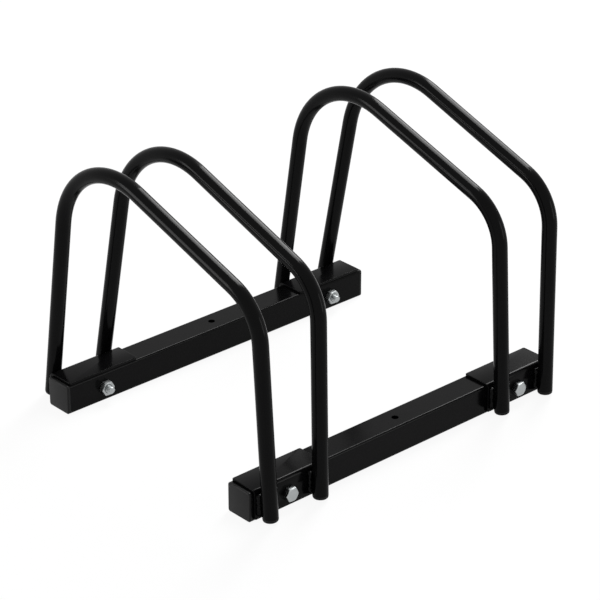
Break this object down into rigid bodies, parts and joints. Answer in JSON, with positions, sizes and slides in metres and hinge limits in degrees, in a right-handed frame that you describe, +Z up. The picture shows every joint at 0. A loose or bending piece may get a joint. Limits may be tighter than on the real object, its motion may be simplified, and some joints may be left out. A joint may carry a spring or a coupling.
{
  "type": "bike rack",
  "caption": "Low floor rack that holds bicycle wheels upright in slots between pairs of bent tube hoops on two square floor beams.",
  "frame": {"origin": "on the floor, midway between the anchor holes of the two beams", "axes": "+X along the floor beams, +Y from the front beam to the rear beam, +Z up"},
  "size_m": [0.386, 0.3368, 0.2773],
  "materials": {
    "black_powder_coat": "glossy black powder coat",
    "black_plastic": "satin moulded black plastic",
    "zinc_plated_steel": "bright zinc plating"
  },
  "bodies": {
    "root": {"front_beam": "black_powder_coat", "front_left_cap": "black_plastic", "front_left_bracket": "black_powder_coat", "front_left_bolt": "zinc_plated_steel", "front_left_nut": "zinc_plated_steel", "front_right_cap": "black_plastic", "front_right_bracket": "black_powder_coat", "front_right_bolt": "zinc_plated_steel", "front_right_nut": "zinc_plated_steel", "rear_beam": "black_powder_coat", "rear_left_cap": "black_plastic", "rear_left_bracket": "black_powder_coat", "rear_left_bolt": "zinc_plated_steel", "rear_left_nut": "zinc_plated_steel", "rear_right_cap": "black_plastic", "rear_right_bracket": "black_powder_coat", "rear_right_bolt": "zinc_plated_steel", "rear_right_nut": "zinc_plated_steel", "left_outer_hoop": "black_powder_coat", "left_outer_front_foot": "black_plastic", "left_outer_front_weld": "black_powder_coat", "left_outer_rear_foot": "black_plastic", "left_outer_rear_weld": "black_powder_coat", "left_inner_hoop": "black_powder_coat", "left_inner_front_foot": "black_plastic", "left_inner_front_weld": "black_powder_coat", "left_inner_rear_foot": "black_plastic", "left_inner_rear_weld": "black_powder_coat", "right_outer_hoop": "black_powder_coat", "right_outer_front_foot": "black_plastic", "right_outer_front_weld": "black_powder_coat", "right_outer_rear_foot": "black_plastic", "right_outer_rear_weld": "black_powder_coat", "right_inner_hoop": "black_powder_coat", "right_inner_front_foot": "black_plastic", "right_inner_front_weld": "black_powder_coat", "right_inner_rear_foot": "black_plastic", "right_inner_rear_weld": "black_powder_coat"}
  },
  "joints": []
}
